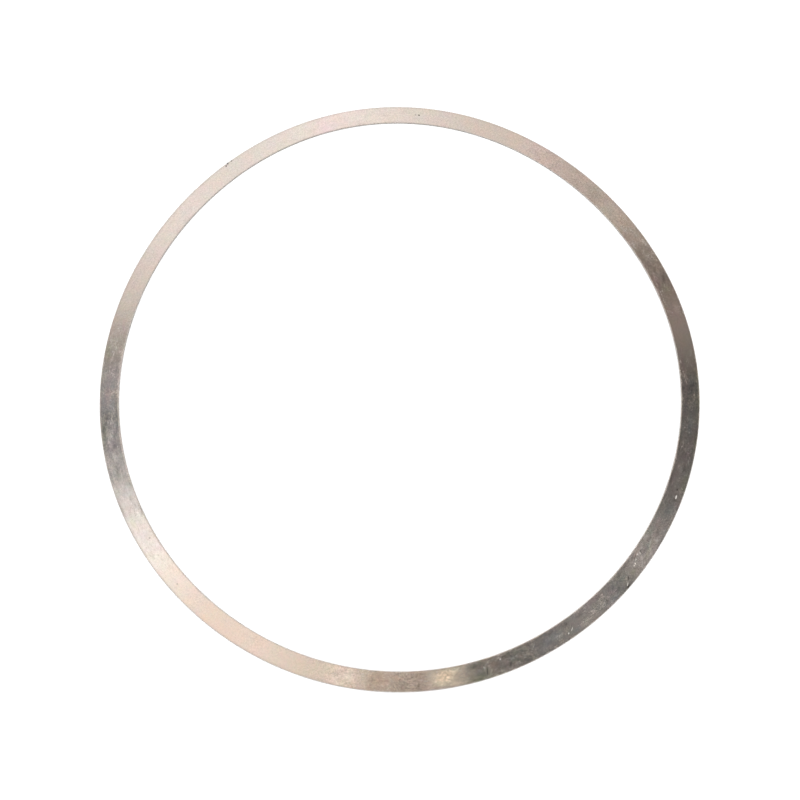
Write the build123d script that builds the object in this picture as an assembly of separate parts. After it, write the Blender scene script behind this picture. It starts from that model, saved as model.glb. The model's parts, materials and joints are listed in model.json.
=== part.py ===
from build123d import *
import os

# Shim ring: a flat, narrow ring blanked from thin steel sheet. It is one piece.
# Frame: Z is the ring's axis, and Z = 0 is the lower flat face that it lies on.
# All sizes are in millimetres.

# Driving dimensions
BORE_DIAMETER = 150.0  # clears the inner race and shaft
BAND_WIDTH = 5.0  # radial width of the flat band, from bore to rim
SHEET_THICKNESS = 0.5
ROLLED_EDGE_RADIUS = 0.12  # upper edges, drawn down by the punch
DEBURRED_EDGE_RADIUS = 0.1  # lower edges, where the burr was taken off

# An edge can take no more than this share of the sheet it is cut from.
LARGEST_EDGE_SHARE = 0.45


def edge_radius(wanted):
    """The wanted edge radius, held to what the sheet and the band can carry."""
    return min(wanted, LARGEST_EDGE_SHARE * min(SHEET_THICKNESS, BAND_WIDTH))


def band_section():
    """The band's cross-section at +X: a strip with rounded corners."""
    mid_radius = (BORE_DIAMETER + BAND_WIDTH) / 2
    with BuildSketch(Plane.XZ) as section:
        with Locations((mid_radius, SHEET_THICKNESS / 2)):
            Rectangle(BAND_WIDTH, SHEET_THICKNESS)
        corners = section.vertices().group_by(Axis.Z)
        fillet(corners[-1], edge_radius(ROLLED_EDGE_RADIUS))
        fillet(corners[0], edge_radius(DEBURRED_EDGE_RADIUS))
    return section.sketch


def shim_ring():
    """The ring: its section turned once round the bore's axis."""
    return revolve(band_section(), axis=Axis.Z, revolution_arc=360)


os.makedirs("parts", exist_ok=True)
export_step(shim_ring(), "parts/shim_ring.step")
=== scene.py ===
import json
import math
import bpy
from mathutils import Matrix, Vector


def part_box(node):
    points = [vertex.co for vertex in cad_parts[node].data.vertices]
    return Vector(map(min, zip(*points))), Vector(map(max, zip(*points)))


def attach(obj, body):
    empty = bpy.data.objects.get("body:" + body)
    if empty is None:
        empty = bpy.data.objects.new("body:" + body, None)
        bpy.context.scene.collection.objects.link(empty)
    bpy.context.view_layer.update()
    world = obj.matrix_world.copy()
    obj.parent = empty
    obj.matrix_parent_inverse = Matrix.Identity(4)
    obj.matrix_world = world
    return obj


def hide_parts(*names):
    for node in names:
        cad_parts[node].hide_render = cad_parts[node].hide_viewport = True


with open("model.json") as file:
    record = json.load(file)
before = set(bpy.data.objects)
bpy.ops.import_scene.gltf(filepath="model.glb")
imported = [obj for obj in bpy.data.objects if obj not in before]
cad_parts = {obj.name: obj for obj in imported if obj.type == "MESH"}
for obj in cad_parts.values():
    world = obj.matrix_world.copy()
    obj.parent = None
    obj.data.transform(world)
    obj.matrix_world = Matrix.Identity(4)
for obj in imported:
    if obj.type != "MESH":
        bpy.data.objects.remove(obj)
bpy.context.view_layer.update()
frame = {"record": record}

from types import SimpleNamespace

import bmesh
import bpy
from mathutils import Matrix, Vector, noise

# A shim ring blanked from thin steel sheet, lying flat under a white light tent.
# Everything is in metres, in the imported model's own frame: Z is the ring's axis
# and Z = 0 is the face that it lies on.

NODE = "shim_ring"
MM = 0.001
MICRON = 0.000001
MICRONS_PER_MM = 1000

# ---------------------------------------------------------------- ring sizes
mounts = {mount["name"]: mount for mount in frame["record"]["mounts"]}
ring_low, ring_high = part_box(NODE)
BORE_RADIUS = mounts["bore"]["dims"]["r_mm"] * MM
RIM_RADIUS = mounts["rim"]["dims"]["r_mm"] * MM
THICKNESS = ring_high.z - ring_low.z
BAND_WIDTH = RIM_RADIUS - BORE_RADIUS
MID_RADIUS = (RIM_RADIUS + BORE_RADIUS) / 2
TOP = ring_high.z

ROLLED_EDGE = 0.12 * MM
ROLLED_FACETS = 5
DEBURRED_EDGE = 0.1 * MM
DEBURRED_FACETS = 3
TEAR_DEPTH = 0.02 * MM  # the torn lower part of a blanked wall stands back this far
TEAR_SHARE = 0.45  # of the sheet's thickness, from the lower face
TEAR_HEIGHT = 0.03 * MM  # the wall steps back over this height
WALL_RISE = 0.35  # a face is part of a wall if its normal rises less than this
RING_STEPS = 1200
UPPER_CUTS = 15  # points across the upper face, between its corners
LOWER_CUTS = 5
TOUCHING = 1e-7  # points closer than this are one point

# A thin hoop springs a little out of round: (lobes, cosine part, sine part).
SPRUNG_LOBES = ((3, 0.159 * MM, -0.391 * MM), (4, 0.239 * MM, 0.094 * MM))
# The rim is blanked in a second stroke, a hair off the bore's centre.
RIM_DRIFT = Vector((-0.07 * MM, -0.09 * MM))

# The ring's map: its four sides as flat strips, cut into equal lengths and stacked.
MAP_LENGTHS = 6
MAP_GAP = 0.35 * MM

# ------------------------------------------------------------------ finishes
STEEL = (0.785, 0.715, 0.665, 1)  # bright cold-rolled sheet, a little warm
BROWNED = (0.84, 0.71, 0.63, 1)  # thin handling tarnish
GREYED = (0.735, 0.71, 0.695, 1)  # old oil film
GREENED = (0.745, 0.745, 0.64, 1)  # the same film, thicker
PINKED = (0.81, 0.68, 0.68, 1)  # and thinner
PIT_AND_SHADE_DARK = (0.05, 0.045, 0.04, 1)  # rust-dark pits, and the painted shade line beside the rim
SCUFF_AND_HIGHLIGHT = (0.94, 0.90, 0.86, 1)  # freshly rubbed metal, and the painted highlight of the small dots
# Painted highlight colour of the glints.
GLINT_HIGHLIGHT = (0.98, 0.96, 0.93, 1)
PEACH_HIGHLIGHT_COLOUR = (0.925, 0.78, 0.67, 1)  # a warm peach highlight, painted into the colour
OLIVE_FILM = (0.765, 0.73, 0.61, 1)
MAUVE_FILM = (0.805, 0.685, 0.665, 1)
BLUED_FILM = (0.735, 0.715, 0.69, 1)
RUST_FILM = (0.825, 0.70, 0.625, 1)
BAND_SHADE = (0.69, 0.63, 0.58, 1)  # painted shade, darkening the colour where dark bands are reflected
# A deeper painted shade.
FIRM_BAND_SHADE = (0.62, 0.585, 0.545, 1)
GREASE_AND_SHADE_COLOUR = (0.55, 0.50, 0.465, 1)  # dark old grease, and painted shade
WIPED_AND_LIT_COLOUR = (0.98, 0.893, 0.83, 1)  # where a thumb has wiped it away, and painted highlight
WALL_PALE = (0.42, 0.39, 0.36, 1)  # sheared metal
WALL_DARK = (0.30, 0.28, 0.26, 1)

# Tints that drift over all the steel. Each shows where one of two patterns leaves its
# middle value for the value given here: (pattern, value, finish).
TINT_MIDDLE = 0.50
TINTS = ((0, 0.78, BROWNED), (0, 0.22, GREYED), (1, 0.80, GREENED), (1, 0.20, PINKED))

# --------------------------------------------------------------------- marks
# Marks on the upper face: angle round the ring, distance out from the bore in mm,
# lean from the ring's own direction (anticlockwise) in degrees, half length and half
# width in mm.

# Rust-dark pits, fainter dark specks, and cuts.
PITS = (
    (87.45, 2.62, 0, 0.36, 0.24),
    (128.92, 4.78, 55, 0.40, 0.34),
    (129.48, 4.40, 50, 0.36, 0.27),
    (128.0, 4.72, 0, 0.30, 0.16),
    (305.3, 1.20, 0, 0.22, 0.20),
)
SPECKS = (
    (213.9, 1.70, 0, 0.36, 0.34),
    (224.3, 2.90, 0, 0.38, 0.36),
    (88.2, 2.60, 0, 0.40, 0.40),
)
CUTS = (
    (287.9, 3.10, 70, 1.35, 0.13),
    (319.0, 4.66, 8, 0.80, 0.24),
    (320.1, 3.35, 30, 0.95, 0.17),
    (291.3, 1.15, 30, 0.60, 0.14),
    (324.3, 1.25, 22, 1.10, 0.14),
    (325.75, 1.75, 62, 0.60, 0.13),
    (339.9, 2.85, 35, 0.40, 0.16),
)
# Nicks whose leaning floors catch the light and whose colour is painted bright as a
# highlight, small dots painted as highlights, and lines rubbed pale.
GLINTS = (
    (290.9, 1.42, 20, 0.28, 0.13),
    (304.7, 3.50, 20, 0.26, 0.17),
    (305.7, 3.08, 36, 0.70, 0.07),
    (319.2, 4.12, 30, 0.60, 0.09),
    (322.8, 2.45, 60, 0.30, 0.12),
    (323.2, 2.35, 50, 0.34, 0.16),
    (323.9, 1.88, 25, 0.36, 0.10),
    (324.9, 1.40, 20, 0.30, 0.15),
    (325.4, 1.75, 62, 0.55, 0.08),
    (338.45, 3.27, 0, 0.66, 0.21),
)
HIGHLIGHT_DOTS = (
    (129.85, 4.48, 0, 0.36, 0.28),
    (130.40, 4.36, 0, 0.32, 0.24),
    (206.2, 1.90, -14, 0.40, 0.16),
    (206.75, 1.70, -14, 0.42, 0.18),
    (205.3, 1.60, 62, 0.80, 0.10),
)
RUBS = (
    (200.6, 1.90, -7, 2.60, 0.10),
    (194.5, 1.30, 0, 0.50, 0.14),
    (297.7, 1.80, 44, 1.30, 0.16),
    (290.7, 0.95, 18, 0.70, 0.16),
    (288.3, 1.20, 40, 0.80, 0.14),
)
# Darker and lighter patches: old grease and places where it is wiped thin, and with them
# painted shade and painted highlights over the reflections' dark and bright bands.
GREASE_AND_SHADE_PATCHES = (
    (188.5, 3.4, -8, 2.4, 0.90),
    (188.3, 2.6, 60, 1.0, 0.45),
    (190.2, 2.9, -18, 1.6, 0.50),
    (191.6, 4.3, 0, 3.2, 0.70),
    (194.4, 2.0, -30, 1.4, 0.55),
    (195.8, 1.7, 20, 1.1, 0.45),
    (198.1, 3.1, 0, 0.9, 0.40),
    (199.6, 2.80, -9, 2.8, 0.42),
    (199.6, 4.60, 0, 1.6, 0.45),
    (202.6, 0.40, 0, 1.8, 0.40),
    (205.6, 1.5, -4, 2.0, 0.50),
    (206.8, 1.1, -15, 1.0, 0.35),
    (206.4, 4.75, 0, 4.0, 0.50),
    (208.2, 0.35, 0, 3.2, 0.35),
    (285.8, 1.0, 0, 2.8, 1.10),
    (287.35, 2.35, 0, 0.5, 0.45),
    (292.5, 3.3, 30, 1.3, 0.60),
    (292.2, 1.2, 0, 1.4, 0.60),
    (296.9, 0.7, 0, 1.8, 0.50),
    (301.6, 0.9, 0, 1.6, 0.60),
    (305.0, 1.1, 0, 1.9, 0.80),
    (308.6, 1.4, 0, 2.6, 0.60),
    (314.3, 3.5, 0, 1.2, 0.80),
    (313.6, 1.1, 0, 1.5, 0.50),
    (317.6, 3.1, 10, 1.5, 0.60),
    (318.9, 1.0, 0, 2.0, 0.55),
    (319.0, 4.5, 0, 2.8, 0.55),
    (321.7, 0.8, 0, 2.6, 0.60),
    (323.5, 1.1, 10, 1.6, 0.55),
    (322.9, 3.25, 15, 0.9, 0.40),
    (325.6, 3.35, 0, 0.6, 0.40),
    (326.4, 2.2, 0, 1.6, 0.50),
    (328.9, 1.65, 14, 2.0, 0.50),
    (330.7, 2.75, 8, 1.8, 0.60),
    (329.4, 4.6, 0, 2.8, 0.50),
    (337.6, 3.2, 0, 0.8, 0.60),
    (344.2, 3.0, 0, 1.1, 0.60),
    (341.8, 0.5, 0, 3.4, 0.50),
    (347.8, 0.5, 0, 3.4, 0.50),
    (0.8, 2.6, 0, 2.2, 2.00),
    (23.3, 3.2, -22, 3.0, 0.70),
    (22.5, 1.2, -10, 2.6, 0.50),
)
WIPED_AND_LIT_PATCHES = (
    (182.8, 1.7, 0, 1.1, 0.50),
    (185.1, 2.2, 60, 0.7, 0.40),
    (186.3, 2.0, 60, 0.8, 0.45),
    (187.0, 1.2, 0, 1.4, 0.50),
    (190.2, 1.4, 0, 1.2, 0.50),
    (191.8, 2.4, 0, 1.8, 0.80),
    (193.3, 3.0, 60, 1.0, 0.45),
    (195.4, 3.2, 50, 1.1, 0.50),
    (196.8, 2.4, 0, 1.2, 0.60),
    (199.0, 3.45, -10, 1.2, 0.40),
    (202.6, 4.6, 0, 1.4, 0.60),
    (202.8, 3.3, 0, 1.5, 0.80),
    (202.4, 2.4, 10, 1.1, 0.50),
    (203.3, 1.5, -10, 1.2, 0.50),
    (204.4, 3.6, 40, 1.0, 0.40),
    (207.7, 2.35, 0, 1.0, 0.60),
    (208.4, 1.5, 0, 1.5, 0.60),
    (279.4, 2.4, 0, 2.6, 2.60),
    (282.0, 1.2, 10, 2.2, 0.90),
    (288.7, 3.1, 70, 1.1, 0.45),
    (290.6, 0.9, 15, 1.1, 0.40),
    (290.4, 4.2, 10, 1.4, 0.50),
    (293.8, 4.0, 0, 1.2, 0.70),
    (295.7, 3.0, 0, 1.4, 0.80),
    (297.7, 1.8, 42, 1.4, 0.50),
    (299.2, 3.3, 0, 1.8, 1.00),
    (300.6, 2.2, 20, 1.4, 0.80),
    (302.3, 2.8, 0, 1.8, 1.10),
    (308.2, 3.8, 0, 2.2, 1.00),
    (313.1, 2.2, 40, 1.1, 0.50),
    (316.3, 3.7, 0, 1.4, 0.80),
    (320.9, 2.3, -40, 0.9, 0.40),
    (321.9, 2.75, 0, 0.9, 0.60),
    (323.1, 2.3, 20, 1.2, 0.45),
    (323.8, 4.0, 0, 1.7, 0.90),
    (324.9, 1.7, 25, 1.2, 0.45),
    (325.0, 2.9, 0, 1.5, 0.80),
    (326.0, 4.0, 0, 1.4, 1.00),
    (326.9, 3.5, 0, 1.4, 0.80),
    (326.9, 1.0, 20, 1.2, 0.50),
    (328.3, 2.55, 12, 1.9, 0.50),
    (328.8, 0.6, 0, 1.6, 0.60),
    (329.3, 3.7, 10, 1.8, 0.70),
    (339.8, 3.6, 10, 1.2, 0.50),
    (347.5, 4.7, 0, 5.0, 0.60),
    (356.5, 4.7, 0, 6.0, 0.80),
    (2.4, 4.6, 0, 3.0, 0.60),
    (4.2, 4.0, 10, 1.0, 0.50),
    (17.0, 3.2, 0, 2.6, 1.20),
)
# Where a cloth has smeared the face dull, where the sheet is slightly buckled, and
# where a warm peach highlight is painted into the colour.
SMEARS = (
    (197.0, 2.6, -12, 4.5, 1.8),
    (324.8, 3.5, 0, 3.6, 1.5),
    (328.2, 2.5, 14, 5.0, 0.7),
    (310.0, 3.5, 0, 5.0, 1.5),
    (333.5, 2.0, 0, 2.0, 2.0),
)
BUCKLES = (
    (188.0, 2.5, 0, 8.0, 4.0),
    (202.5, 2.5, 0, 6.0, 4.0),
    (270.0, 2.5, 0, 5.0, 4.0),
    (322.0, 2.5, 0, 14.0, 4.0),
)
PEACH_HIGHLIGHT = (
    (279.9, 2.1, 10, 4.6, 2.7),
)
# Thin oil and tarnish films, from old handling.
OLIVE = (
    (357.0, 4.3, 0, 7.5, 1.2),
    (356.9, 4.6, 0, 3.6, 0.8),
    (341.5, 4.1, 0, 5.0, 1.3),
    (349.5, 4.5, 0, 4.0, 0.9),
    (285.8, 4.5, 0, 4.5, 0.9),
    (191.3, 4.3, -4, 6.5, 1.1),
    (175.5, 4.2, 0, 3.5, 1.4),
    (326.8, 3.2, 12, 5.0, 1.0),
    (21.5, 2.8, 0, 2.5, 2.0),
    (3.0, 4.4, 0, 5.0, 1.0),
    (321.8, 3.1, 0, 1.2, 0.9),
    (210.0, 3.6, 0, 2.8, 1.2),
)
MAUVE = (
    (357.5, 1.0, 0, 8.0, 1.2),
    (357.6, 0.9, 0, 4.0, 0.8),
    (341.8, 1.1, 0, 4.0, 1.1),
    (347.0, 3.0, 0, 2.6, 1.4),
    (5.5, 1.0, 0, 5.0, 1.0),
    (331.5, 1.8, 6, 5.0, 1.0),
    (312.5, 0.8, 0, 5.0, 0.9),
    (316.0, 2.6, 0, 2.6, 0.6),
    (183.0, 2.9, 0, 5.5, 1.4),
    (169.8, 1.5, 16, 4.0, 0.7),
    (286.7, 2.0, 0, 2.0, 1.7),
    (16.0, 2.4, 0, 4.5, 2.6),
    (23.8, 1.2, 0, 4.0, 1.2),
    (58.0, 2.5, 0, 15.0, 15.0),
    (107.0, 2.5, 0, 8.0, 14.0),
)
BLUED = (
    (286.4, 2.7, 0, 2.0, 1.2),
    (293.0, 2.2, 0, 2.2, 1.2),
    (301.2, 2.4, 0, 5.5, 1.8),
    (306.2, 3.8, 0, 2.4, 1.2),
    (315.6, 4.2, 0, 3.0, 0.9),
    (328.0, 2.4, 8, 2.6, 0.8),
    (319.8, 2.2, 0, 2.6, 1.0),
    (336.0, 2.8, 0, 4.0, 1.8),
    (353.0, 2.6, 0, 5.5, 0.9),
    (1.5, 2.6, 0, 3.0, 1.0),
)
RUST = (
    (266.2, 1.3, 0, 2.6, 1.0),
    (267.6, 2.4, 0, 3.4, 2.2),
    (289.2, 2.0, 0, 2.4, 1.3),
    (325.0, 0.9, 8, 2.8, 0.7),
    (302.8, 4.1, 0, 1.3, 0.7),
    (185.5, 0.7, 0, 6.0, 0.6),
    (270.8, 1.6, 0, 3.4, 1.1),
)
# Bands of painted shade across the face, where the tent's dark bands are reflected, and a
# darker one with a firmer edge.
SHADE_BANDS = (
    (266.4, 2.5, 0, 3.2, 5.0),
    (275.3, 2.3, 0, 3.4, 5.0),
    (188.2, 2.6, 0, 3.0, 4.0),
    (46.0, 2.5, 0, 5.0, 5.0),
    (320.0, 2.5, 0, 3.0, 4.0),
)
FIRM_SHADE_BAND = (
    (286.0, 2.6, 0, 3.7, 4.2),
)
# Each layer of tint, real films and painted light and shade alike, from the lowest to
# the uppermost: its marks, its finish, and the share of each mark's size out to which it
# covers fully.
COATS_AND_PAINTED_LIGHT = (
    (OLIVE, OLIVE_FILM, 0.0),
    (MAUVE, MAUVE_FILM, 0.0),
    (BLUED, BLUED_FILM, 0.0),
    (RUST, RUST_FILM, 0.0),
    (SHADE_BANDS, BAND_SHADE, 0.0),
    (FIRM_SHADE_BAND, FIRM_BAND_SHADE, 0.55),
    (GREASE_AND_SHADE_PATCHES, GREASE_AND_SHADE_COLOUR, 0.0),
    (WIPED_AND_LIT_PATCHES, WIPED_AND_LIT_COLOUR, 0.0),
)
# Films and areas have wavering borders: how far these stray, the scales of the wavering
# per metre, the finer one's share, and a seed that keeps it the same each time.
FILM_WANDER = 0.35 * MM
WIDE_WANDER = 700
TIGHT_WANDER = 1600
TIGHT_SHARE = 0.5
WANDER_SEED = 5

# Calm stretches are polished cleaner than the rest, quiet ones are cleaner but clouded,
# and lively ones are clouded, patchy and dappled.
CALM = (
    (11.0, 2.5, 0, 8.0, 8.0),
    (213.0, 2.5, 0, 8.0, 8.0),
    (223.0, 2.5, 0, 11.0, 11.0),
    (236.0, 2.5, 0, 12.0, 12.0),
    (249.0, 2.5, 0, 12.0, 12.0),
)
QUIET = (
    (190.0, 2.5, 0, 18.0, 18.0),
    (270.0, 2.5, 0, 10.0, 10.0),
    (281.0, 2.5, 0, 9.0, 9.0),
    (293.0, 2.5, 0, 11.0, 11.0),
    (347.0, 2.5, 0, 16.0, 16.0),
    (358.5, 2.5, 0, 8.0, 8.0),
)
LIVELY = (
    (36.0, 2.5, 0, 12.0, 12.0),
    (48.0, 2.5, 0, 12.0, 12.0),
    (59.0, 2.5, 0, 10.0, 10.0),
    (314.0, 2.5, 0, 9.0, 9.0),
    (323.0, 2.5, 0, 10.0, 10.0),
    (331.0, 2.5, 0, 8.0, 8.0),
)
# Each area's name on the mesh, its marks, and the share of their size that is full.
AREAS = (
    ("smear", SMEARS, 0.0),
    ("buckle", BUCKLES, 0.2),
    ("calm", CALM, 0.3),
    ("quiet", QUIET, 0.3),
    ("lively", LIVELY, 0.3),
)


# ------------------------------------------------------------------ geometry
def sprung(angle):
    """How far the free hoop stands out from a true circle at this angle."""
    return sum(a * math.cos(n * angle) + b * math.sin(n * angle) for n, a, b in SPRUNG_LOBES)


def spot_on_ring(angle, out_mm):
    """The place of a mark in the ring's plane, on the sprung hoop."""
    turn = math.radians(angle)
    radius = BORE_RADIUS + out_mm * MM + sprung(turn)
    return radius * math.cos(turn), radius * math.sin(turn)


def mark_direction(angle, lean):
    """Which way a mark's length points, in radians from +X."""
    return math.radians(angle + 90 + lean)


def band_section(bm):
    """A closed outline of the band at +X: rolled upper corners, softer lower ones."""
    made = bmesh.ops.create_grid(bm, x_segments=1, y_segments=1, size=0.5)
    bmesh.ops.scale(bm, vec=(BAND_WIDTH, THICKNESS, 1), verts=made["verts"])
    stand_up = Matrix.Rotation(math.radians(90), 3, "X")
    bmesh.ops.rotate(bm, cent=(0, 0, 0), matrix=stand_up, verts=made["verts"])
    bmesh.ops.translate(bm, vec=(MID_RADIUS, 0, THICKNESS / 2), verts=made["verts"])
    for is_upper, radius, segments in ((True, ROLLED_EDGE, ROLLED_FACETS),
                                       (False, DEBURRED_EDGE, DEBURRED_FACETS)):
        corners = [v for v in bm.verts
                   if (v.co.z > THICKNESS / 2) == is_upper
                   and min(v.co.z, THICKNESS - v.co.z) < TOUCHING
                   and min(v.co.x - BORE_RADIUS, RIM_RADIUS - v.co.x) < TOUCHING]
        bmesh.ops.bevel(bm, geom=corners, offset=radius, offset_type="OFFSET",
                        segments=segments, profile=0.5, affect="VERTICES", material=-1)
    bmesh.ops.delete(bm, geom=bm.faces[:], context="FACES_ONLY")
    flats = [e for e in bm.edges if abs(e.verts[0].co.x - e.verts[1].co.x) > BAND_WIDTH / 2]
    for flat in flats:
        is_upper = flat.verts[0].co.z > THICKNESS / 2
        cuts = UPPER_CUTS if is_upper else LOWER_CUTS
        bmesh.ops.subdivide_edges(bm, edges=[flat], cuts=cuts)
    walls = [e for e in bm.edges if abs(e.verts[0].co.z - e.verts[1].co.z) > THICKNESS / 2]
    cut = bmesh.ops.subdivide_edges(bm, edges=walls, cuts=2)
    for v in [g for g in cut["geom_inner"] if isinstance(g, bmesh.types.BMVert)]:
        inward = 1 if v.co.x < MID_RADIUS else -1
        if v.co.z < THICKNESS / 2:
            v.co.z = TEAR_SHARE * THICKNESS - TEAR_HEIGHT
            v.co.x += inward * TEAR_DEPTH
        else:
            v.co.z = TEAR_SHARE * THICKNESS


def side_of(face):
    """Which side of the band a face is on, and how far down the map that strip starts."""
    if face.material_index:
        if face.calc_center_median().xy.length < MID_RADIUS:
            return "bore wall", 2 * (BAND_WIDTH + MAP_GAP)
        return "rim wall", 2 * (BAND_WIDTH + MAP_GAP) + THICKNESS + MAP_GAP
    if face.normal.z > 0:
        return "upper face", 0.0
    return "lower face", BAND_WIDTH + MAP_GAP


def lay_out_map(bm):
    """Lays the hoop's four sides out flat, in stacked strips at one scale."""
    layer = bm.loops.layers.uv.new("OFBake")
    sector = math.tau / MAP_LENGTHS
    row_height = 2 * (BAND_WIDTH + THICKNESS + 2 * MAP_GAP)
    map_size = max(sector * MID_RADIUS, MAP_LENGTHS * row_height) + MAP_GAP
    for face in bm.faces:
        side, start = side_of(face)
        centre = face.calc_center_median()
        row = int(math.atan2(centre.y, centre.x) % math.tau / sector)
        middle = (row + 0.5) * sector
        for loop in face.loops:
            place = loop.vert.co
            turned = (math.atan2(place.y, place.x) - middle + math.pi) % math.tau - math.pi
            along = (turned + sector / 2) * MID_RADIUS
            across = place.z if "wall" in side else place.xy.length - BORE_RADIUS
            down = row * row_height + start + across
            loop[layer].uv = ((along + MAP_GAP / 2) / map_size, (down + MAP_GAP / 2) / map_size)


def by_degree(list_of_marks):
    """A list of marks, sorted into the whole degrees of the ring that each one reaches."""
    reached = [[] for _ in range(360)]
    for angle, out_mm, lean, half_length, half_width in list_of_marks:
        turn = mark_direction(angle, lean)
        along = Vector((math.cos(turn), math.sin(turn))) / (half_length * MM)
        aside = Vector((-math.sin(turn), math.cos(turn))) / (half_width * MM)
        reach = math.ceil(math.degrees(max(half_length, half_width) * MM / BORE_RADIUS)) + 1
        for degree in range(math.floor(angle) - reach, math.floor(angle) + reach + 1):
            reached[degree % 360].append((Vector(spot_on_ring(angle, out_mm)), along, aside))
    return reached


def soft_cover(place, near_marks, full_to):
    """How much of a place is under the soft marks near it, from 0 to 1."""
    most = 0.0
    for centre, along, aside in near_marks:
        from_mark = place - centre
        away = math.hypot(from_mark.dot(along), from_mark.dot(aside))
        inward = min(max((1 - away) / (1 - full_to), 0.0), 1.0)
        most = max(most, inward * inward * (3 - 2 * inward))
    return most


def lay_films_and_painted_light(bm):
    """Notes on each point of the hoop the tint of its films and painted light and shade, and each
    area's cover.
    """
    noise.seed_set(WANDER_SEED)
    tint = bm.verts.layers.float_vector.new("tint_with_painted_light")
    coats = [(by_degree(coat), Vector([full / bare for full, bare in zip(finish[:3], STEEL[:3])]),
              full_to) for coat, finish, full_to in COATS_AND_PAINTED_LIGHT]
    areas = [(bm.verts.layers.float.new(name), by_degree(soft_marks), full_to)
             for name, soft_marks, full_to in AREAS]
    for v in bm.verts:
        v[tint] = (1, 1, 1)
        if v.co.z < THICKNESS / 2:
            continue
        degree = int(math.degrees(math.atan2(v.co.y, v.co.x)) % 360)
        tight = noise.noise_vector(v.co * TIGHT_WANDER)
        wander = noise.noise_vector(v.co * WIDE_WANDER) + TIGHT_SHARE * tight
        place = v.co.xy + wander.xy * FILM_WANDER
        shade = Vector((1, 1, 1))
        for coat, full_tint, full_to in coats:
            cover = soft_cover(place, coat[degree], full_to)
            shade = shade * (1 - cover) + shade * full_tint * cover
        v[tint] = shade
        for layer, soft_marks, full_to in areas:
            v[layer] = soft_cover(place, soft_marks[degree], full_to)


def new_object(name, bm):
    """A new object in the scene, with this mesh."""
    mesh = bpy.data.meshes.new(name)
    bm.to_mesh(mesh)
    bm.free()
    made = bpy.data.objects.new(name, mesh)
    bpy.context.scene.collection.objects.link(made)
    return made


def ring_piece():
    """The whole hoop: its section spun once round the bore's axis."""
    bm = bmesh.new()
    band_section(bm)
    bmesh.ops.spin(bm, geom=bm.verts[:] + bm.edges[:], cent=(0, 0, 0), axis=(0, 0, 1),
                   dvec=(0, 0, 0), angle=math.tau, steps=RING_STEPS, use_merge=True,
                   use_duplicate=False)
    bmesh.ops.remove_doubles(bm, verts=bm.verts[:], dist=TOUCHING)
    bmesh.ops.recalc_face_normals(bm, faces=bm.faces[:])
    for face in bm.faces:
        face.smooth = True
        face.material_index = 1 if abs(face.normal.z) < WALL_RISE else 0
    lay_out_map(bm)
    out_from_bore = bm.verts.layers.float.new("out_from_bore")
    for v in bm.verts:
        angle = math.atan2(v.co.y, v.co.x)
        radius = v.co.xy.length
        v[out_from_bore] = (radius - BORE_RADIUS) / MM
        v.co.xy *= (radius + sprung(angle)) / radius
        v.co.xy += RIM_DRIFT * ((radius - BORE_RADIUS) / BAND_WIDTH)
    lay_films_and_painted_light(bm)
    return new_object("shim_ring_dressed", bm)


# ----------------------------------------------------------------- materials
class Nodes:
    """Short calls for building one node tree."""

    def __init__(self, tree):
        self.tree = tree

    def add(self, kind, **settings):
        node = self.tree.nodes.new(kind)
        for key, value in settings.items():
            setattr(node, key, value)
        return node

    def join(self, output, socket):
        self.tree.links.new(output, socket)

    def give(self, socket, value):
        """Joins an output to a socket, or sets a plain value on it."""
        if isinstance(value, bpy.types.NodeSocket):
            self.join(value, socket)
        else:
            socket.default_value = value

    def feed(self, node, **inputs):
        for name, value in inputs.items():
            self.give(node.inputs[name.replace("_", " ")], value)

    def maths(self, operation, a, b=None):
        node = self.add("ShaderNodeMath", operation=operation)
        self.give(node.inputs[0], a)
        if b is not None:
            self.give(node.inputs[1], b)
        return node.outputs[0]

    def weighed(self, first, *parts):
        """The first value, plus each part times its weight."""
        total = first
        for part, weight in parts:
            total = self.maths("ADD", total, self.maths("MULTIPLY", part, weight))
        return total

    def gathered(self, operation, values):
        """All of the values taken together by one operation."""
        total = None
        for value in values:
            total = value if total is None else self.maths(operation, total, value)
        return total

    def spread(self, value, low, high, to_low=0.0, to_high=1.0, smooth=True):
        """A value's run from low to high, laid over the run from to_low to to_high."""
        node = self.add("ShaderNodeMapRange", clamp=True,
                        interpolation_type="SMOOTHSTEP" if smooth else "LINEAR")
        self.feed(node, Value=value, From_Min=low, From_Max=high, To_Min=to_low, To_Max=to_high)
        return node.outputs["Result"]

    def noted(self, name, output="Fac"):
        """What the mesh notes at each of its points under this name."""
        return self.add("ShaderNodeAttribute", attribute_name=name).outputs[output]

    def noise(self, vector, scale, detail=2.0, roughness=0.5, output="Fac"):
        node = self.add("ShaderNodeTexNoise", noise_dimensions="3D")
        self.feed(node, Vector=vector, Scale=scale, Detail=detail, Roughness=roughness)
        return node.outputs[output]

    def placed(self, vector, turn=0.0, stretch=(1, 1, 1), shift=(0, 0, 0)):
        node = self.add("ShaderNodeMapping")
        self.feed(node, Vector=vector, Rotation=(0, 0, math.radians(turn)), Scale=stretch,
                  Location=shift)
        return node.outputs["Vector"]

    def split(self, kind, value):
        """The parts of a vector or a colour."""
        node = self.add(kind)
        self.join(value, node.inputs[0])
        return node.outputs

    def blend(self, factor, a, b, mode="MIX"):
        node = self.add("ShaderNodeMix", data_type="RGBA", blend_type=mode)
        for index, value in ((0, factor), (6, a), (7, b)):
            self.give(node.inputs[index], value)
        return node.outputs[2]


def fresh_material(name, shader_kind):
    """A new material with one shader: the material, its nodes and the shader."""
    material = bpy.data.materials.new(name)
    material.use_nodes = True
    material.node_tree.nodes.clear()
    n = Nodes(material.node_tree)
    out = n.add("ShaderNodeOutputMaterial")
    shader = n.add(shader_kind)
    n.join(shader.outputs[0], out.inputs["Surface"])
    return material, n, shader


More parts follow.
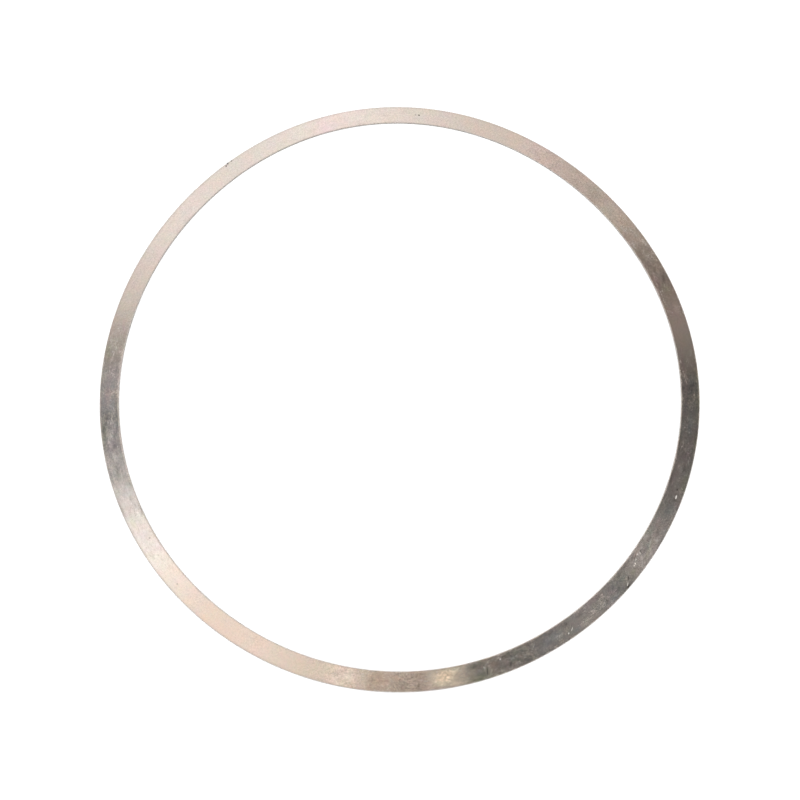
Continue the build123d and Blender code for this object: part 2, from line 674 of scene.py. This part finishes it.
# Pattern scales per mm, along and across the band.
GRAIN_SCALES = (0.07, 2.6)
TOOTH_SCALES = (1.4, 2.9)
MOTTLE_SCALES = (0.27, 0.55)
# Pattern scales per metre, the same every way.
TINT_SCALE = 240
HANDLING_SCALE = 160
DAPPLE_SCALE = 1900
CLOUD_SCALE = 320
BUCKLE_SCALE = 260
SLOW_WAVE_SCALE = 60
WALL_SCALE = 700
# Ragged borders, and torn ones: how fine, per metre, and how far they reach.
RAGGED = (1500, 0.30 * MM)
TORN = (800, 0.9 * MM)

# Handling scratches: the way that each set runs, in degrees from +X, and its seed.
SCRATCH_SETS = ((50, 0), (-28, 5), (83, 9))
SCRATCH_SCALES = (180, 5200, 180)  # per metre: long one way and fine the other
SCRATCH_SHOWS = (0.62, 0.76)  # pattern values where a scratch starts and is full
HANDLED = (0.42, 0.62)  # and the same for the parts that were handled

# How patchy, dappled and clouded the face is, and how each kind of area changes that.
PATCHY = 0.60
CALM_PATCHY = -0.36
QUIET_PATCHY = -0.24
LIVELY_PATCHY = 0.50
DAPPLED = 0.46
LIVELY_DAPPLED = 0.62
CALM_DAPPLED = -0.26
QUIET_DAPPLED = 0.10
CLOUDED = 0.28

# Wear takes the face from mirror smooth to dull: the wear that is everywhere, and what
# each thing adds.
EVEN_WEAR = 0.36
TOOTH_WEAR = 0.28
GRAIN_WEAR = 0.05
SMEAR_WEAR = 0.05
EDGE_WEAR = 0.10
SCRATCH_WEAR = 0.05
DULL_FROM = 0.41
DULL_AT = 0.75
RUBS_DULL = 0.6
GLINTS_DULL = 0.5
MIRROR_ROUGHNESS = 0.08
DULL_ROUGHNESS = 0.42
# Distances in mm from the nearest edge where its wear starts and is full, how much the
# tooth shifts them, and the same run for the painted shade line beside the rim.
EDGE_WORN = (0.55, 0.05)
EDGE_SHIFT = 0.5
RIM_SHADE_RUN = (0.8, 0.25)

# How strongly each kind of mark shows in the steel's colour.
SCRATCHES_SHOW = 0.3
RUBS_SHOW = 0.7
HIGHLIGHT_DOTS_SHOW = 0.6
GLINTS_SHOW = 1.0
SPECKS_SHOW = 0.30
RIM_SHADE_SHOWS = 0.08
CUTS_SHOW = 0.75
PITS_SHOW = 0.88

# Heights in microns.
GRAIN_HEIGHT = 0.5
TOOTH_HEIGHT = 0.12
SCRATCH_DEPTH = 0.4
PIT_DEPTH = 6.0
BUCKLE_HEIGHT = 10.0
SLOW_WAVE_HEIGHT = 22.0
GLINT_SLOPE = 0.26
GLINT_FULL_TO = 0.6


def mark_frame(n, place, mark):
    """Directions along (X) and across (Y) one mark, 1 long at its own rim."""
    angle, out_mm, lean, half_length, half_width = mark
    x, y = spot_on_ring(angle, out_mm)
    node = n.add("ShaderNodeMapping", vector_type="TEXTURE")
    n.feed(node, Vector=place, Location=(x, y, TOP), Rotation=(0, 0, mark_direction(angle, lean)),
           Scale=(half_length * MM, half_width * MM, THICKNESS / 2))
    return node.outputs["Vector"]


def inside(n, frame_of_mark, full_to):
    """1 out to this share of a mark's size, and from there down to 0 at its rim."""
    away = n.add("ShaderNodeVectorMath", operation="LENGTH")
    n.join(frame_of_mark, away.inputs[0])
    return n.spread(away.outputs["Value"], full_to, 1.0, 1.0, 0.0)


def marks(n, place, list_of_marks, full_to):
    """One mask that is 1 inside each mark on the upper face and 0 away from them."""
    return n.gathered("MAXIMUM", (inside(n, mark_frame(n, place, mark), full_to)
                                  for mark in list_of_marks))


def facets(n, place, list_of_marks, slope):
    """Heights in microns that lean each mark's floor towards the ring's centre."""
    def facet(mark):
        own = mark_frame(n, place, mark)
        half_width = mark[-1]
        rise = n.maths("MULTIPLY", n.split("ShaderNodeSeparateXYZ", own)["Y"],
                       -slope * half_width * MICRONS_PER_MM)
        return n.maths("MULTIPLY", rise, inside(n, own, GLINT_FULL_TO))

    return n.gathered("ADD", (facet(mark) for mark in list_of_marks))


def shifted(n, place, seed):
    """The same place in another stretch of a pattern."""
    return n.placed(place, shift=(seed, seed * 0.7, seed * 1.3))


def centred(n, pattern):
    """A pattern from 0 to 1, moved to swing about 0."""
    return n.maths("SUBTRACT", pattern, 0.5)


def scratch_set(n, place, turn, seed):
    """Fine straight scratches that all run one way."""
    ruled = n.placed(n.placed(place, turn=-turn), stretch=SCRATCH_SCALES, shift=(seed, seed, seed))
    return n.spread(n.noise(ruled, 1), *SCRATCH_SHOWS)


def drawn_out(n, place, across, along_scale, across_scale):
    """Coordinates for a pattern that is drawn out along the band, both scales per mm."""
    step = n.add("ShaderNodeCombineXYZ")
    n.join(n.maths("MULTIPLY", across, across_scale), step.inputs["Z"])
    both = n.add("ShaderNodeVectorMath", operation="ADD")
    scale = along_scale / MM
    n.join(n.placed(place, stretch=(scale, scale, 0)), both.inputs[0])
    n.join(step.outputs[0], both.inputs[1])
    return both.outputs[0]


def shaken(n, place, scale, reach):
    """The same place, moved about by up to half of reach, for ragged borders."""
    shake = n.add("ShaderNodeCombineXYZ")
    for axis, seed in (("X", 0), ("Y", 31)):
        n.join(centred(n, n.noise(shifted(n, place, seed), scale)), shake.inputs[axis])
    moved = n.add("ShaderNodeVectorMath", operation="MULTIPLY_ADD")
    n.join(shake.outputs[0], moved.inputs[0])
    moved.inputs[1].default_value = (reach, reach, 0)
    n.join(place, moved.inputs[2])
    return moved.outputs[0]


def sheet_patterns(n, place, across):
    """The rolled sheet's own patterns, and its handling scratches."""
    mottle = n.noise(drawn_out(n, place, across, *MOTTLE_SCALES), 1, detail=5, roughness=0.8)
    tooth = n.noise(drawn_out(n, place, across, *TOOTH_SCALES), 1, roughness=0.7)
    tints = n.noise(shifted(n, place, seed=3), TINT_SCALE, detail=4, roughness=0.75,
                    output="Color")
    tints = n.split("ShaderNodeSeparateColor", tints)
    grain = n.noise(drawn_out(n, place, across, *GRAIN_SCALES), 1, detail=3)
    scratches = n.gathered("MAXIMUM", (scratch_set(n, place, turn, seed)
                                       for turn, seed in SCRATCH_SETS))
    handled = n.spread(n.noise(shifted(n, place, seed=7), HANDLING_SCALE), *HANDLED)
    scratches = n.maths("MULTIPLY", scratches, handled)
    return SimpleNamespace(mottle=mottle, tooth=tooth, tints=tints, grain=grain,
                           scratches=scratches)


def sheet_marks(n, place, across, tooth):
    """Masks of the sheet's marks, its worn edges, a painted rim shade, and the areas noted on the
    mesh.
    """
    ragged = shaken(n, place, *RAGGED)
    torn = shaken(n, place, *TORN)
    found = SimpleNamespace(
        pits=marks(n, ragged, PITS, 0.55),
        specks=marks(n, ragged, SPECKS, 0.2),
        cuts=marks(n, ragged, CUTS, 0.3),
        glints=marks(n, ragged, GLINTS, 0.55),
        rubs=marks(n, ragged, RUBS, 0.0),
        highlight_dots=marks(n, ragged, HIGHLIGHT_DOTS, 0.0),
        smears=n.noted("smear"),
        buckles=n.noted("buckle"),
        peach_highlight=marks(n, torn, PEACH_HIGHLIGHT, 0.1),
        calm=n.noted("calm"),
        quiet=n.noted("quiet"),
        lively=n.noted("lively"))
    # The rolled corners and a strip beside them are worn duller than the middle.
    band_mm = BAND_WIDTH / MM
    from_edge = n.maths("MINIMUM", across, n.maths("SUBTRACT", band_mm, across))
    from_edge = n.weighed(from_edge, (centred(n, tooth), EDGE_SHIFT))
    found.edges = n.spread(from_edge, *EDGE_WORN)
    # A thin dark line beside the rim: painted shade of the rolled edge, in the pits' dark colour.
    rim_from, rim_full = RIM_SHADE_RUN
    found.rim_line = n.spread(across, band_mm - rim_from, band_mm - rim_full)
    return found


def sheet_dullness(n, pattern, found):
    """Fine tooth dulls part of the face and leaves the rest mirror smooth.

    How much it takes changes slowly from place to place.
    """
    patchiness = n.weighed(PATCHY, (found.calm, CALM_PATCHY), (found.quiet, QUIET_PATCHY),
                           (found.lively, LIVELY_PATCHY))
    patches = n.maths("MULTIPLY", centred(n, pattern.mottle), patchiness)
    wear = n.maths("ADD", n.maths("MULTIPLY", pattern.tooth, TOOTH_WEAR),
                   n.maths("ADD", patches, EVEN_WEAR))
    wear = n.weighed(wear, (centred(n, pattern.grain), GRAIN_WEAR), (found.smears, SMEAR_WEAR),
                     (found.edges, EDGE_WEAR), (pattern.scratches, SCRATCH_WEAR))
    dull = n.spread(wear, DULL_FROM, DULL_AT)
    dull = n.maths("MAXIMUM", dull, n.maths("MULTIPLY", found.rubs, RUBS_DULL))
    dull = n.maths("MAXIMUM", dull, n.maths("MULTIPLY", found.glints, GLINTS_DULL))
    return n.maths("MAXIMUM", dull, found.pits)


def sheet_colour(n, place, pattern, found):
    """The steel's colour, under its films and painted light and shade, with dapples, clouds and
    single marks.
    """
    colour = STEEL
    for channel, full, finish in TINTS:
        shows = n.spread(pattern.tints[channel], TINT_MIDDLE, full, smooth=False)
        colour = n.blend(shows, colour, finish)
    # The films' tint, which also carries painted shade bands, shade patches and highlights.
    colour = n.blend(1.0, colour, n.noted("tint_with_painted_light", "Color"), mode="MULTIPLY")
    # A warm peach highlight painted into the colour, where the tent's brightest peach panels are
    # reflected.
    colour = n.blend(found.peach_highlight, colour, PEACH_HIGHLIGHT_COLOUR)
    dapples = n.noise(shifted(n, place, seed=17), DAPPLE_SCALE, roughness=0.7)
    dapple_depth = n.weighed(DAPPLED, (found.lively, LIVELY_DAPPLED), (found.calm, CALM_DAPPLED),
                             (found.quiet, QUIET_DAPPLED))
    shade = n.maths("MULTIPLY", centred(n, dapples), dapple_depth)
    clouds = centred(n, n.noise(shifted(n, place, seed=23), CLOUD_SCALE, detail=1))
    cloud_depth = n.maths("MULTIPLY", n.maths("ADD", found.quiet, found.lively), CLOUDED)
    shade = n.weighed(shade, (clouds, cloud_depth))
    colour = n.blend(1.0, colour, n.maths("ADD", shade, 1.0), mode="MULTIPLY")
    # Marks on the colour: scratches, rubs, specks, cuts and pits are the steel's own, the glints
    # and small dots are painted highlights, and the rim line is painted shade.
    for mask, strength, finish in ((pattern.scratches, SCRATCHES_SHOW, SCUFF_AND_HIGHLIGHT),
                                   (found.rubs, RUBS_SHOW, SCUFF_AND_HIGHLIGHT),
                                   (found.highlight_dots, HIGHLIGHT_DOTS_SHOW, SCUFF_AND_HIGHLIGHT),
                                   (found.glints, GLINTS_SHOW, GLINT_HIGHLIGHT),
                                   (found.specks, SPECKS_SHOW, PIT_AND_SHADE_DARK),
                                   (found.rim_line, RIM_SHADE_SHOWS, PIT_AND_SHADE_DARK),
                                   (found.cuts, CUTS_SHOW, PIT_AND_SHADE_DARK),
                                   (found.pits, PITS_SHOW, PIT_AND_SHADE_DARK)):
        colour = n.blend(n.maths("MULTIPLY", mask, strength), colour, finish)
    return colour


def sheet_height(n, place, pattern, found):
    """Heights in microns: rolled grain, scratches, pits, nicks and slow waves."""
    fine = n.maths("ADD", n.maths("MULTIPLY", pattern.grain, GRAIN_HEIGHT),
                   n.maths("MULTIPLY", pattern.tooth, TOOTH_HEIGHT))
    fine = n.maths("SUBTRACT", fine, n.maths("MULTIPLY", pattern.scratches, SCRATCH_DEPTH))
    fine = n.maths("SUBTRACT", fine, n.maths("MULTIPLY", found.pits, PIT_DEPTH))
    fine = n.maths("ADD", fine, facets(n, place, GLINTS, GLINT_SLOPE))
    waves = n.noise(shifted(n, place, seed=11), BUCKLE_SCALE, detail=1)
    waves = n.maths("MULTIPLY", waves, n.maths("MULTIPLY", found.buckles, BUCKLE_HEIGHT))
    slow_waves = n.noise(shifted(n, place, seed=13), SLOW_WAVE_SCALE, detail=1)
    slow_waves = n.maths("MULTIPLY", slow_waves, SLOW_WAVE_HEIGHT)
    return n.maths("ADD", fine, n.maths("ADD", waves, slow_waves))


def steel_face():
    """The sheet's own rolled surface, seen on both flat sides."""
    material, n, shader = fresh_material("rolled_face", "ShaderNodeBsdfPrincipled")
    shader.inputs["Metallic"].default_value = 1
    place = n.add("ShaderNodeTexCoord").outputs["Object"]
    across = n.noted("out_from_bore")
    pattern = sheet_patterns(n, place, across)
    found = sheet_marks(n, place, across, pattern.tooth)
    dull = sheet_dullness(n, pattern, found)
    roughness = n.spread(dull, 0, 1, MIRROR_ROUGHNESS, DULL_ROUGHNESS, smooth=False)
    n.join(roughness, shader.inputs["Roughness"])
    n.join(sheet_colour(n, place, pattern, found), shader.inputs["Base Color"])
    height = sheet_height(n, place, pattern, found)
    bump = n.add("ShaderNodeBump")
    n.feed(bump, Strength=1.0, Distance=MICRON, Height=height)
    n.join(bump.outputs[0], shader.inputs["Normal"])
    return material


def blanked_wall():
    """The sheared walls of the bore and rim."""
    material, n, shader = fresh_material("blanked_wall", "ShaderNodeBsdfPrincipled")
    place = n.add("ShaderNodeTexCoord").outputs["Object"]
    mottle = n.noise(place, WALL_SCALE, detail=3)
    n.join(n.blend(n.spread(mottle, 0.3, 0.7), WALL_PALE, WALL_DARK), shader.inputs["Base Color"])
    shader.inputs["Metallic"].default_value = 1
    n.join(n.spread(mottle, 0.3, 0.7, 0.35, 0.5), shader.inputs["Roughness"])
    return material


# --------------------------------------------------------------- light tent
# Tent roof, seen from the ring's centre: angle anticlockwise from +X, brightness, and
# the cloth's warmth, which is 0 for plain white, 1 for peach and less than 0 for cool.
ROOF_PANELS = (
    (0, 0.071, -0.6),
    (10, 0.245, 1.1),
    (16, 0.265, 1.2),
    (24, 0.165, 1.2),
    (32, 0.325, 1.1),
    (40, 0.55, 1.0),
    (48.5, 0.50, 0.9),
    (62, 0.715, 0.9),
    (76, 0.785, 0.6),
    (104, 1.06, 0.3),
    (116, 1.01, 0.3),
    (130, 0.95, 0.25),
    (147, 0.99, 0.4),
    (160, 0.79, 0.5),
    (168, 0.69, 0.6),
    (172.5, 0.385, 0.7),
    (179, 0.34, 0.4),
    (184, 0.38, -0.6),
    (190, 0.205, -0.2),
    (195, 0.375, -0.3),
    (200.5, 0.395, -0.2),
    (202.5, 0.74, 0.0),
    (206, 0.99, 0.1),
    (216, 1.25, 0.15),
    (231, 0.93, 1.25),
    (242, 0.96, 0.95),
    (250, 0.86, 1.1),
    (256.5, 0.71, 1.1),
    (261.3, 1.13, 1.0),
    (265.2, 0.35, 1.8),
    (268, 0.41, 1.5),
    (271.5, 0.495, 1.2),
    (274.2, 0.06, 0.9),
    (276.3, 0.01, 2.0),
    (279.7, 1.50, 1.8),
    (281.3, 1.50, 1.8),
    (283.0, 0.01, 1.8),
    (284.8, 0.105, 0.8),
    (288, 0.275, 0.5),
    (291, 0.130, 0.6),
    (297, 0.16, -0.3),
    (308, 0.275, 0.2),
    (312.5, 0.32, 0.3),
    (320, 0.185, -0.3),
    (325, 0.48, 0.5),
    (331, 0.335, 0.0),
    (337, 0.138, 0.2),
    (342, 0.188, 0.4),
    (347, 0.096, 0.3),
    (354, 0.154, 0.2),
)
HALF_ROOF = 20  # the panel where the roof's second half begins
CLOTH_GLOW = 1.5  # the brightest any panel may be
WARM_ADDS_RED = 0.12
WARM_TAKES_BLUE = 0.10
SIDE_LOW = 0.34
SIDE_HIGH = 0.8
SIDE_REACHES = 0.7  # of the tent's radius, where the side cloth is brightest
SIDE_FOLDS = 15  # the side cloth hangs in this many soft folds
SIDE_FOLD_DEPTH = 0.3
ROOF_FROM = 0.75  # of the tent's radius, where the roof starts to cover the side
ROOF_FULL = 0.88
TENT_RADIUS = 0.9
TENT_TILT = 13.0  # degrees from straight up, towards +Y

FLOOR_RADIUS = 12.0
FLOOR_GAP = 0.01 * MM  # the ring's lower face clears the floor by this
FLOOR_WHITE = (0.96, 0.96, 0.96, 1)
SURROUND_WHITE = (1, 1, 1, 1)
SOFTBOX_WIDTH = 0.5
SOFTBOX_POWER = 3.2
SOFTBOX_PLACE = (-0.08, 0.12, 0.9)


def cloth_colour(brightness, warmth):
    """The cloth's colour, with its brightest at 1."""
    level = brightness / CLOTH_GLOW
    return (level * (1 + WARM_ADDS_RED * warmth), level, level * (1 - WARM_TAKES_BLUE * warmth), 1)


def roof_half(n, around, panels):
    """One half of the roof: its panels blended softly into each other."""
    ramp = n.add("ShaderNodeValToRGB")
    ramp.color_ramp.interpolation = "CARDINAL"
    stops = ramp.color_ramp.elements
    while len(stops) > 1:
        stops.remove(stops[-1])
    for index, (angle, brightness, warmth) in enumerate(panels):
        stop = stops[0] if index == 0 else stops.new(angle / 360)
        stop.position = angle / 360
        stop.color = cloth_colour(brightness, warmth)
    n.join(around, ramp.inputs["Fac"])
    return ramp.outputs["Color"]


def tent_cloth():
    """Glowing cloth: a roof of panels over folded sides."""
    material, n, glow = fresh_material("tent_cloth", "ShaderNodeEmission")
    place = n.add("ShaderNodeTexCoord").outputs["Object"]
    turn = n.add("ShaderNodeTexGradient", gradient_type="RADIAL")
    n.join(place, turn.inputs["Vector"])
    # RADIAL is 0.5 at +X and rises anticlockwise, with its seam on -X.
    around = n.maths("FRACT", n.maths("ADD", turn.outputs["Fac"], 0.5))
    closing = (360,) + ROOF_PANELS[0][1:]
    east = roof_half(n, around, ROOF_PANELS[:HALF_ROOF + 1])
    west = roof_half(n, around, ROOF_PANELS[HALF_ROOF - 1:] + (closing,))
    is_west = n.maths("GREATER_THAN", around, ROOF_PANELS[HALF_ROOF][0] / 360)
    roof = n.blend(is_west, east, west)
    height = n.split("ShaderNodeSeparateXYZ", place)["Z"]
    height = n.maths("DIVIDE", height, TENT_RADIUS)
    low, high = (cloth_colour(level, 0.0) for level in (SIDE_LOW, SIDE_HIGH))
    side = n.blend(n.spread(height, 0.0, SIDE_REACHES, smooth=False), low, high)
    folds = n.maths("SINE", n.maths("MULTIPLY", around, math.tau * SIDE_FOLDS))
    folds = n.weighed(1.0, (folds, SIDE_FOLD_DEPTH))
    side = n.blend(1.0, side, folds, mode="MULTIPLY")
    overhead = n.spread(height, ROOF_FROM, ROOF_FULL)
    n.feed(glow, Color=n.blend(overhead, side, roof), Strength=CLOTH_GLOW)
    return material


def light_tent():
    """A dome of lit cloth and dark flags, seen only in reflections."""
    bm = bmesh.new()
    bmesh.ops.create_uvsphere(bm, u_segments=96, v_segments=48, radius=TENT_RADIUS)
    tent = new_object("light_tent", bm)
    tent.rotation_euler = (math.radians(-TENT_TILT), 0, 0)
    tent.visible_camera = False
    tent.visible_diffuse = False
    tent.visible_shadow = False
    tent.visible_transmission = False
    tent.data.materials.append(tent_cloth())


def white_floor():
    bm = bmesh.new()
    bmesh.ops.create_circle(bm, cap_ends=True, radius=FLOOR_RADIUS, segments=96)
    floor = new_object("table_top", bm)
    floor.location = (0, 0, ring_low.z - FLOOR_GAP)
    material, _, shader = fresh_material("white_table", "ShaderNodeBsdfDiffuse")
    shader.inputs["Color"].default_value = FLOOR_WHITE
    floor.data.materials.append(material)


def white_world():
    world = bpy.data.worlds.new("white_surround")
    bpy.context.scene.world = world
    world.use_nodes = True
    background = world.node_tree.nodes["Background"]
    background.inputs["Color"].default_value = SURROUND_WHITE
    background.inputs["Strength"].default_value = 1.0


def overhead_lamp():
    """A round softbox that lights the floor and isn't seen in the steel."""
    data = bpy.data.lights.new("overhead_softbox", "AREA")
    data.shape = "DISK"
    data.size = SOFTBOX_WIDTH
    data.energy = SOFTBOX_POWER
    lamp = bpy.data.objects.new("overhead_softbox", data)
    bpy.context.scene.collection.objects.link(lamp)
    lamp.location = SOFTBOX_PLACE
    aim = Vector((0, 0, 0)) - lamp.location
    lamp.rotation_euler = aim.to_track_quat("-Z", "Y").to_euler()
    lamp.visible_glossy = False
    lamp.visible_camera = False


# -------------------------------------------------------------------- camera
CAMERA_TILT = 12.93  # degrees from straight down
CAMERA_REACH = 3.3702 * RIM_RADIUS
CAMERA_ROLL = 1.553
LENS = 45.25
FILM_WIDTH = 36
AIM = Vector((0.0012, -0.0591, 0)) * RIM_RADIUS + Vector((0, 0, TOP))


def camera():
    data = bpy.data.cameras.new("studio_camera")
    data.lens = LENS
    data.sensor_width = FILM_WIDTH
    data.clip_start = 0.01
    data.clip_end = 100
    cam = bpy.data.objects.new("studio_camera", data)
    bpy.context.scene.collection.objects.link(cam)
    tilt = math.radians(CAMERA_TILT)
    cam.location = Vector((0, -math.sin(tilt), math.cos(tilt))) * CAMERA_REACH + Vector((0, 0, TOP))
    ahead = (AIM - cam.location).normalized()
    right = ahead.cross(Vector((0, 0, 1))).normalized()
    up = right.cross(ahead)
    roll = math.radians(CAMERA_ROLL)
    turned_right = right * math.cos(roll) + up * math.sin(roll)
    turned_up = up * math.cos(roll) - right * math.sin(roll)
    cam.rotation_euler = Matrix((turned_right, turned_up, -ahead)).transposed().to_euler()
    bpy.context.scene.camera = cam


bpy.context.scene.view_settings.view_transform = "Standard"
ring = ring_piece()
ring.data.materials.append(steel_face())
ring.data.materials.append(blanked_wall())
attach(ring, "root")
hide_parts(NODE)
light_tent()
white_floor()
white_world()
overhead_lamp()
camera()
